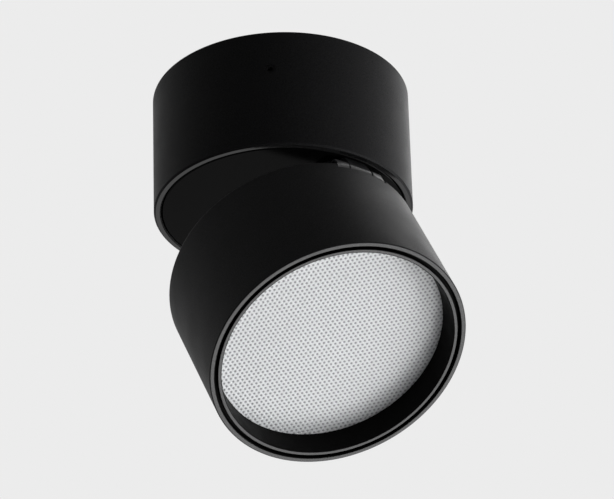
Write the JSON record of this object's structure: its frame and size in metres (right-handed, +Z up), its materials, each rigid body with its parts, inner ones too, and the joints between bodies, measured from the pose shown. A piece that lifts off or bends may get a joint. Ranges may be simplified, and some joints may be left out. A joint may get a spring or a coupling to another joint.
{
  "type": "surface mounted ceiling spotlight",
  "caption": "Surface mounted ceiling spotlight: a round base with a swivelling, folding round light head on a rim hinge.",
  "frame": {"origin": "centre of the bracket's face that meets the ceiling, on the base's axis", "axes": "+Z up into the ceiling; the hinge pin runs along X on the -Y side, where the light aims when the head opens"},
  "size_m": [0.1, 0.1257, 0.1515],
  "materials": {
    "zinc_plate": "satin",
    "black_rubber": "matte",
    "black_coat": "matte",
    "black_screw": "satin",
    "nylon": "matte",
    "driver_shell": "matte",
    "circuit_board": "satin",
    "transformer_tape": "satin",
    "capacitor_sleeve": "satin",
    "copper_wire": "satin",
    "terminal_plastic": "satin",
    "brass_plate": "satin",
    "black_zinc": "satin",
    "diffuser_panel": "satin",
    "reflector_white": "satin",
    "board_white": "satin",
    "chip_yellow": "satin",
    "connector_white": "satin",
    "pad_grey": "matte",
    "bare_aluminium": "satin",
    "black_nylon": "matte"
  },
  "bodies": {
    "base": {"mounting_bracket": "zinc_plate", "cable_grommet": "black_rubber", "base_housing": "black_coat", "side_fixing_screws": "black_screw", "swivel_bush": "nylon", "driver_tray": "driver_shell", "driver_cover": "driver_shell", "driver_board": "circuit_board", "driver_transformer": "transformer_tape", "driver_capacitors": "capacitor_sleeve", "driver_choke": "copper_wire", "driver_screws": "zinc_plate", "terminal_block": "terminal_plastic", "terminal_screws": "brass_plate", "earth_screw": "brass_plate"},
    "swivel": {"swivel_disc": "black_coat", "swivel_tube": "zinc_plate", "swivel_glide_washer": "nylon", "swivel_washer": "zinc_plate", "swivel_spring_washer": "zinc_plate", "swivel_nut": "zinc_plate", "swivel_stop_pin": "zinc_plate", "tube_grommet": "black_rubber", "hinge_arm": "black_zinc", "hinge_arm_screws": "zinc_plate"},
    "head": {"head_housing": "black_coat", "anti_glare_ring": "black_coat", "diffuser": "diffuser_panel", "reflector": "reflector_white", "led_board": "board_white", "led_chips": "chip_yellow", "board_screws": "zinc_plate", "board_connector": "connector_white", "thermal_pad": "pad_grey", "heat_sink": "bare_aluminium", "heat_sink_screws": "zinc_plate", "rear_cover": "black_coat", "rear_cover_screws": "black_screw", "lead_grommet": "black_rubber", "hinge_bracket": "black_zinc", "hinge_bracket_screws": "black_screw", "hinge_pin": "black_screw", "hinge_washers": "black_nylon"}
  },
  "joints": [
    {"name": "swivel", "type": "hinge", "parent": "base", "child": "swivel", "pos_m": [0, 0, -0.05], "axis": [0, 0, 1], "range_deg": [-175, 175]},
    {"name": "tilt", "type": "hinge", "parent": "swivel", "child": "head", "pos_m": [0, -0.0465, -0.0573], "axis": [-1, 0, 0], "range_deg": [-28.5, 61.5]}
  ]
}
